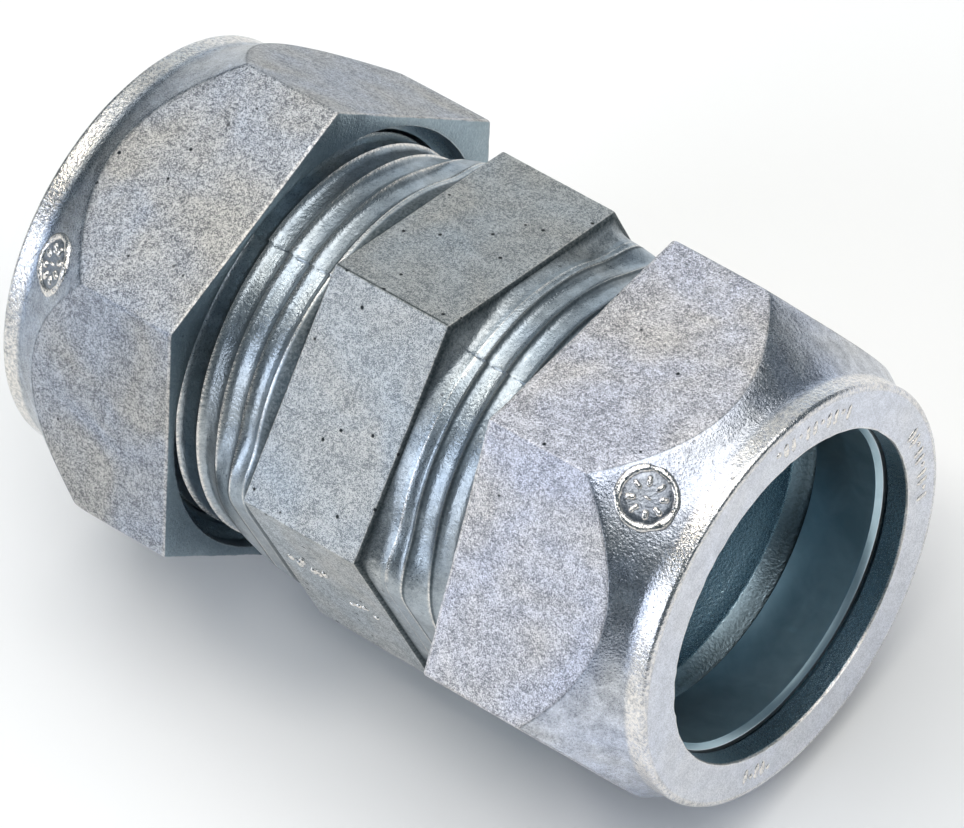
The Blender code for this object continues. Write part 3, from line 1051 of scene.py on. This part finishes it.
# ---------------------------------------------------------------- the object
body_zinc = cast_zinc(
    "cast_zinc_body_skin", grain=1.2, relief=1.0, pit_share=0.55,
    dark=(0.21, 0.23, 0.25), light=(0.64, 0.655, 0.67), warm=(1.0, 0.97, 0.91), cool=(0.94, 0.98, 1.0))
near_zinc = cast_zinc(
    "cast_zinc_near_nut_skin", grain=1.05, relief=1.1, pit_share=0.12,
    dark=(0.21, 0.22, 0.25), light=(0.87, 0.88, 0.94), warm=(1.0, 0.95, 0.87), cool=(0.95, 0.955, 1.0))
far_zinc = cast_zinc(
    "cast_zinc_far_nut_skin", grain=1.3, relief=1.3, pit_share=0.12,
    dark=(0.14, 0.155, 0.18), light=(0.62, 0.65, 0.69), warm=(1.0, 0.94, 0.85), cool=(0.93, 0.95, 1.0))
steel = ring_steel("ring_steel_skin")

ROUNDEL_R = 1.95 * MM
body = make_body()
near_nut = make_nut("near_nut_casting", NEAR_CREST_X, False, 21)
far_nut = make_nut("far_nut_casting", FAR_CREST_X, True, 51)
near_ring = make_ring("near_ring_band", False)
far_ring = make_ring("far_ring_band", True)
near_roundel = round_mark("near_nut_roundel", 23.9 * MM, math.radians(28.0), ROUNDEL_R, False, 3)
far_roundel = round_mark("far_nut_roundel", 24.4 * MM, math.radians(-31.3), ROUNDEL_R, True, 7)
near_ticks = face_marks("near_nut_face_marks", False, 5)
far_ticks = face_marks("far_nut_face_marks", True, 9)
dashes = body_marks("body_flat_marks", math.radians(120.0))

# Each piece, the body that it rides on, the CAD node that it replaces, its slot and its material
pieces = [
    (body, "body", "fitting_body", "cast_zinc_body", body_zinc),
    (near_nut, "near_nut", "near_gland_nut", "cast_zinc_nut", near_zinc),
    (far_nut, "far_nut", "far_gland_nut", "cast_zinc_nut", far_zinc),
    (near_ring, "near_ring", "near_compression_ring", "ring_steel", steel),
    (far_ring, "far_ring", "far_compression_ring", "ring_steel", steel),
    (near_roundel, "near_nut", None, "cast_zinc_nut", near_zinc),
    (far_roundel, "far_nut", None, "cast_zinc_nut", far_zinc),
    (near_ticks, "near_nut", None, "cast_zinc_nut", near_zinc),
    (far_ticks, "far_nut", None, "cast_zinc_nut", far_zinc),
    (dashes, "body", None, "cast_zinc_body", body_zinc),
]
for piece, rides_on, node, slot, material in pieces:
    piece.data.materials.append(material)
    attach(piece, rides_on)
    if node is not None:
        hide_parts(node)


# ---------------------------------------------------------------- floor, lights and camera
FLOOR_Z = cad_box[0][2]
FLOOR_REACH = 3.0
corners = [(-1, -1), (1, -1), (1, 1), (-1, 1)]
floor_mesh = bpy.data.meshes.new("floor")
floor_mesh.from_pydata([(u * FLOOR_REACH, v * FLOOR_REACH, FLOOR_Z) for u, v in corners], [], [[0, 1, 2, 3]])
floor = bpy.data.objects.new("floor", floor_mesh)
bpy.context.scene.collection.objects.link(floor)
paint = bpy.data.materials.new("floor_paper")
paint.use_nodes = True
paint_shader = next(n for n in paint.node_tree.nodes if n.type == "BSDF_PRINCIPLED")
paint_shader.inputs["Base Color"].default_value = (0.97, 0.965, 0.96, 1.0)
paint_shader.inputs["Roughness"].default_value = 0.9
floor_mesh.materials.append(paint)

world = bpy.data.worlds.new("studio")
world.use_nodes = True
backdrop = world.node_tree.nodes["Background"]
backdrop.inputs["Color"].default_value = (0.58, 0.82, 1.0, 1.0)
backdrop.inputs["Strength"].default_value = 0.13
bpy.context.scene.world = world

# Lamps are placed as if the fitting lay untilted. It lies turned this far about its axis.
STUDIO_TILT = Matrix.Rotation(math.radians(-15.36), 3, "X")


def softbox(name, direction, distance, size, power, colour=(1.0, 1.0, 1.0)):
    """A rectangular lamp that faces the object from a direction, and that the camera doesn't see."""
    lamp = bpy.data.lights.new(name, "AREA")
    lamp.shape = "RECTANGLE"
    lamp.size, lamp.size_y = size
    lamp.energy = power
    lamp.color = colour
    holder = bpy.data.objects.new(name, lamp)
    away = (STUDIO_TILT @ Vector(direction)).normalized()
    holder.location = away * distance
    holder.rotation_euler = away.to_track_quat("Z", "Y").to_euler()
    holder.visible_camera = False
    bpy.context.scene.collection.objects.link(holder)


softbox("key", (-0.45, -0.33, 0.83), 1.0, (0.3, 0.3), 1.7, (1.0, 0.95, 0.87))
softbox("by_camera", (0.545, -0.40, 0.73), 1.1, (0.28, 0.28), 1.1)
softbox("top_left", (-0.52, 0.1, 0.85), 1.1, (0.35, 0.5), 0.75, (0.95, 0.98, 1.0))
softbox("top_back", (-0.48, 0.58, 0.66), 1.1, (0.6, 0.6), 0.75, (0.97, 0.97, 0.95))
softbox("back_low", (-0.55, 0.88, 0.2), 1.2, (0.7, 0.5), 1.1, (0.82, 0.92, 1.0))
softbox("left_low", (-0.46, -0.85, 0.2), 1.2, (0.9, 0.6), 5.2, (0.85, 0.9, 1.0))
softbox("overhead", (0.15, -0.05, 1.0), 2.2, (2.2, 2.2), 39.0, (1.0, 0.98, 0.95))

# Camera: the directions from the fitting to the lens and to the picture's right
CAMERA_DISTANCE = 0.5743
lens = bpy.data.cameras.new("photo_camera")
lens.sensor_width = 36.0
lens.lens = 318.86
lens.clip_start = 0.01
lens.clip_end = 20.0
camera = bpy.data.objects.new("photo_camera", lens)
back = Vector((0.48309, -0.34460, 0.80491)).normalized()
right = Vector((0.76407, 0.61484, -0.19536)).normalized()
up = back.cross(right)
aim = right * (1.094 * MM) + up * (0.035 * MM)
stand = Matrix((right, up, back)).transposed().to_4x4()
stand.translation = aim + back * CAMERA_DISTANCE
camera.matrix_world = stand
bpy.context.scene.collection.objects.link(camera)
bpy.context.scene.camera = camera
bpy.context.scene.view_settings.view_transform = "Standard"
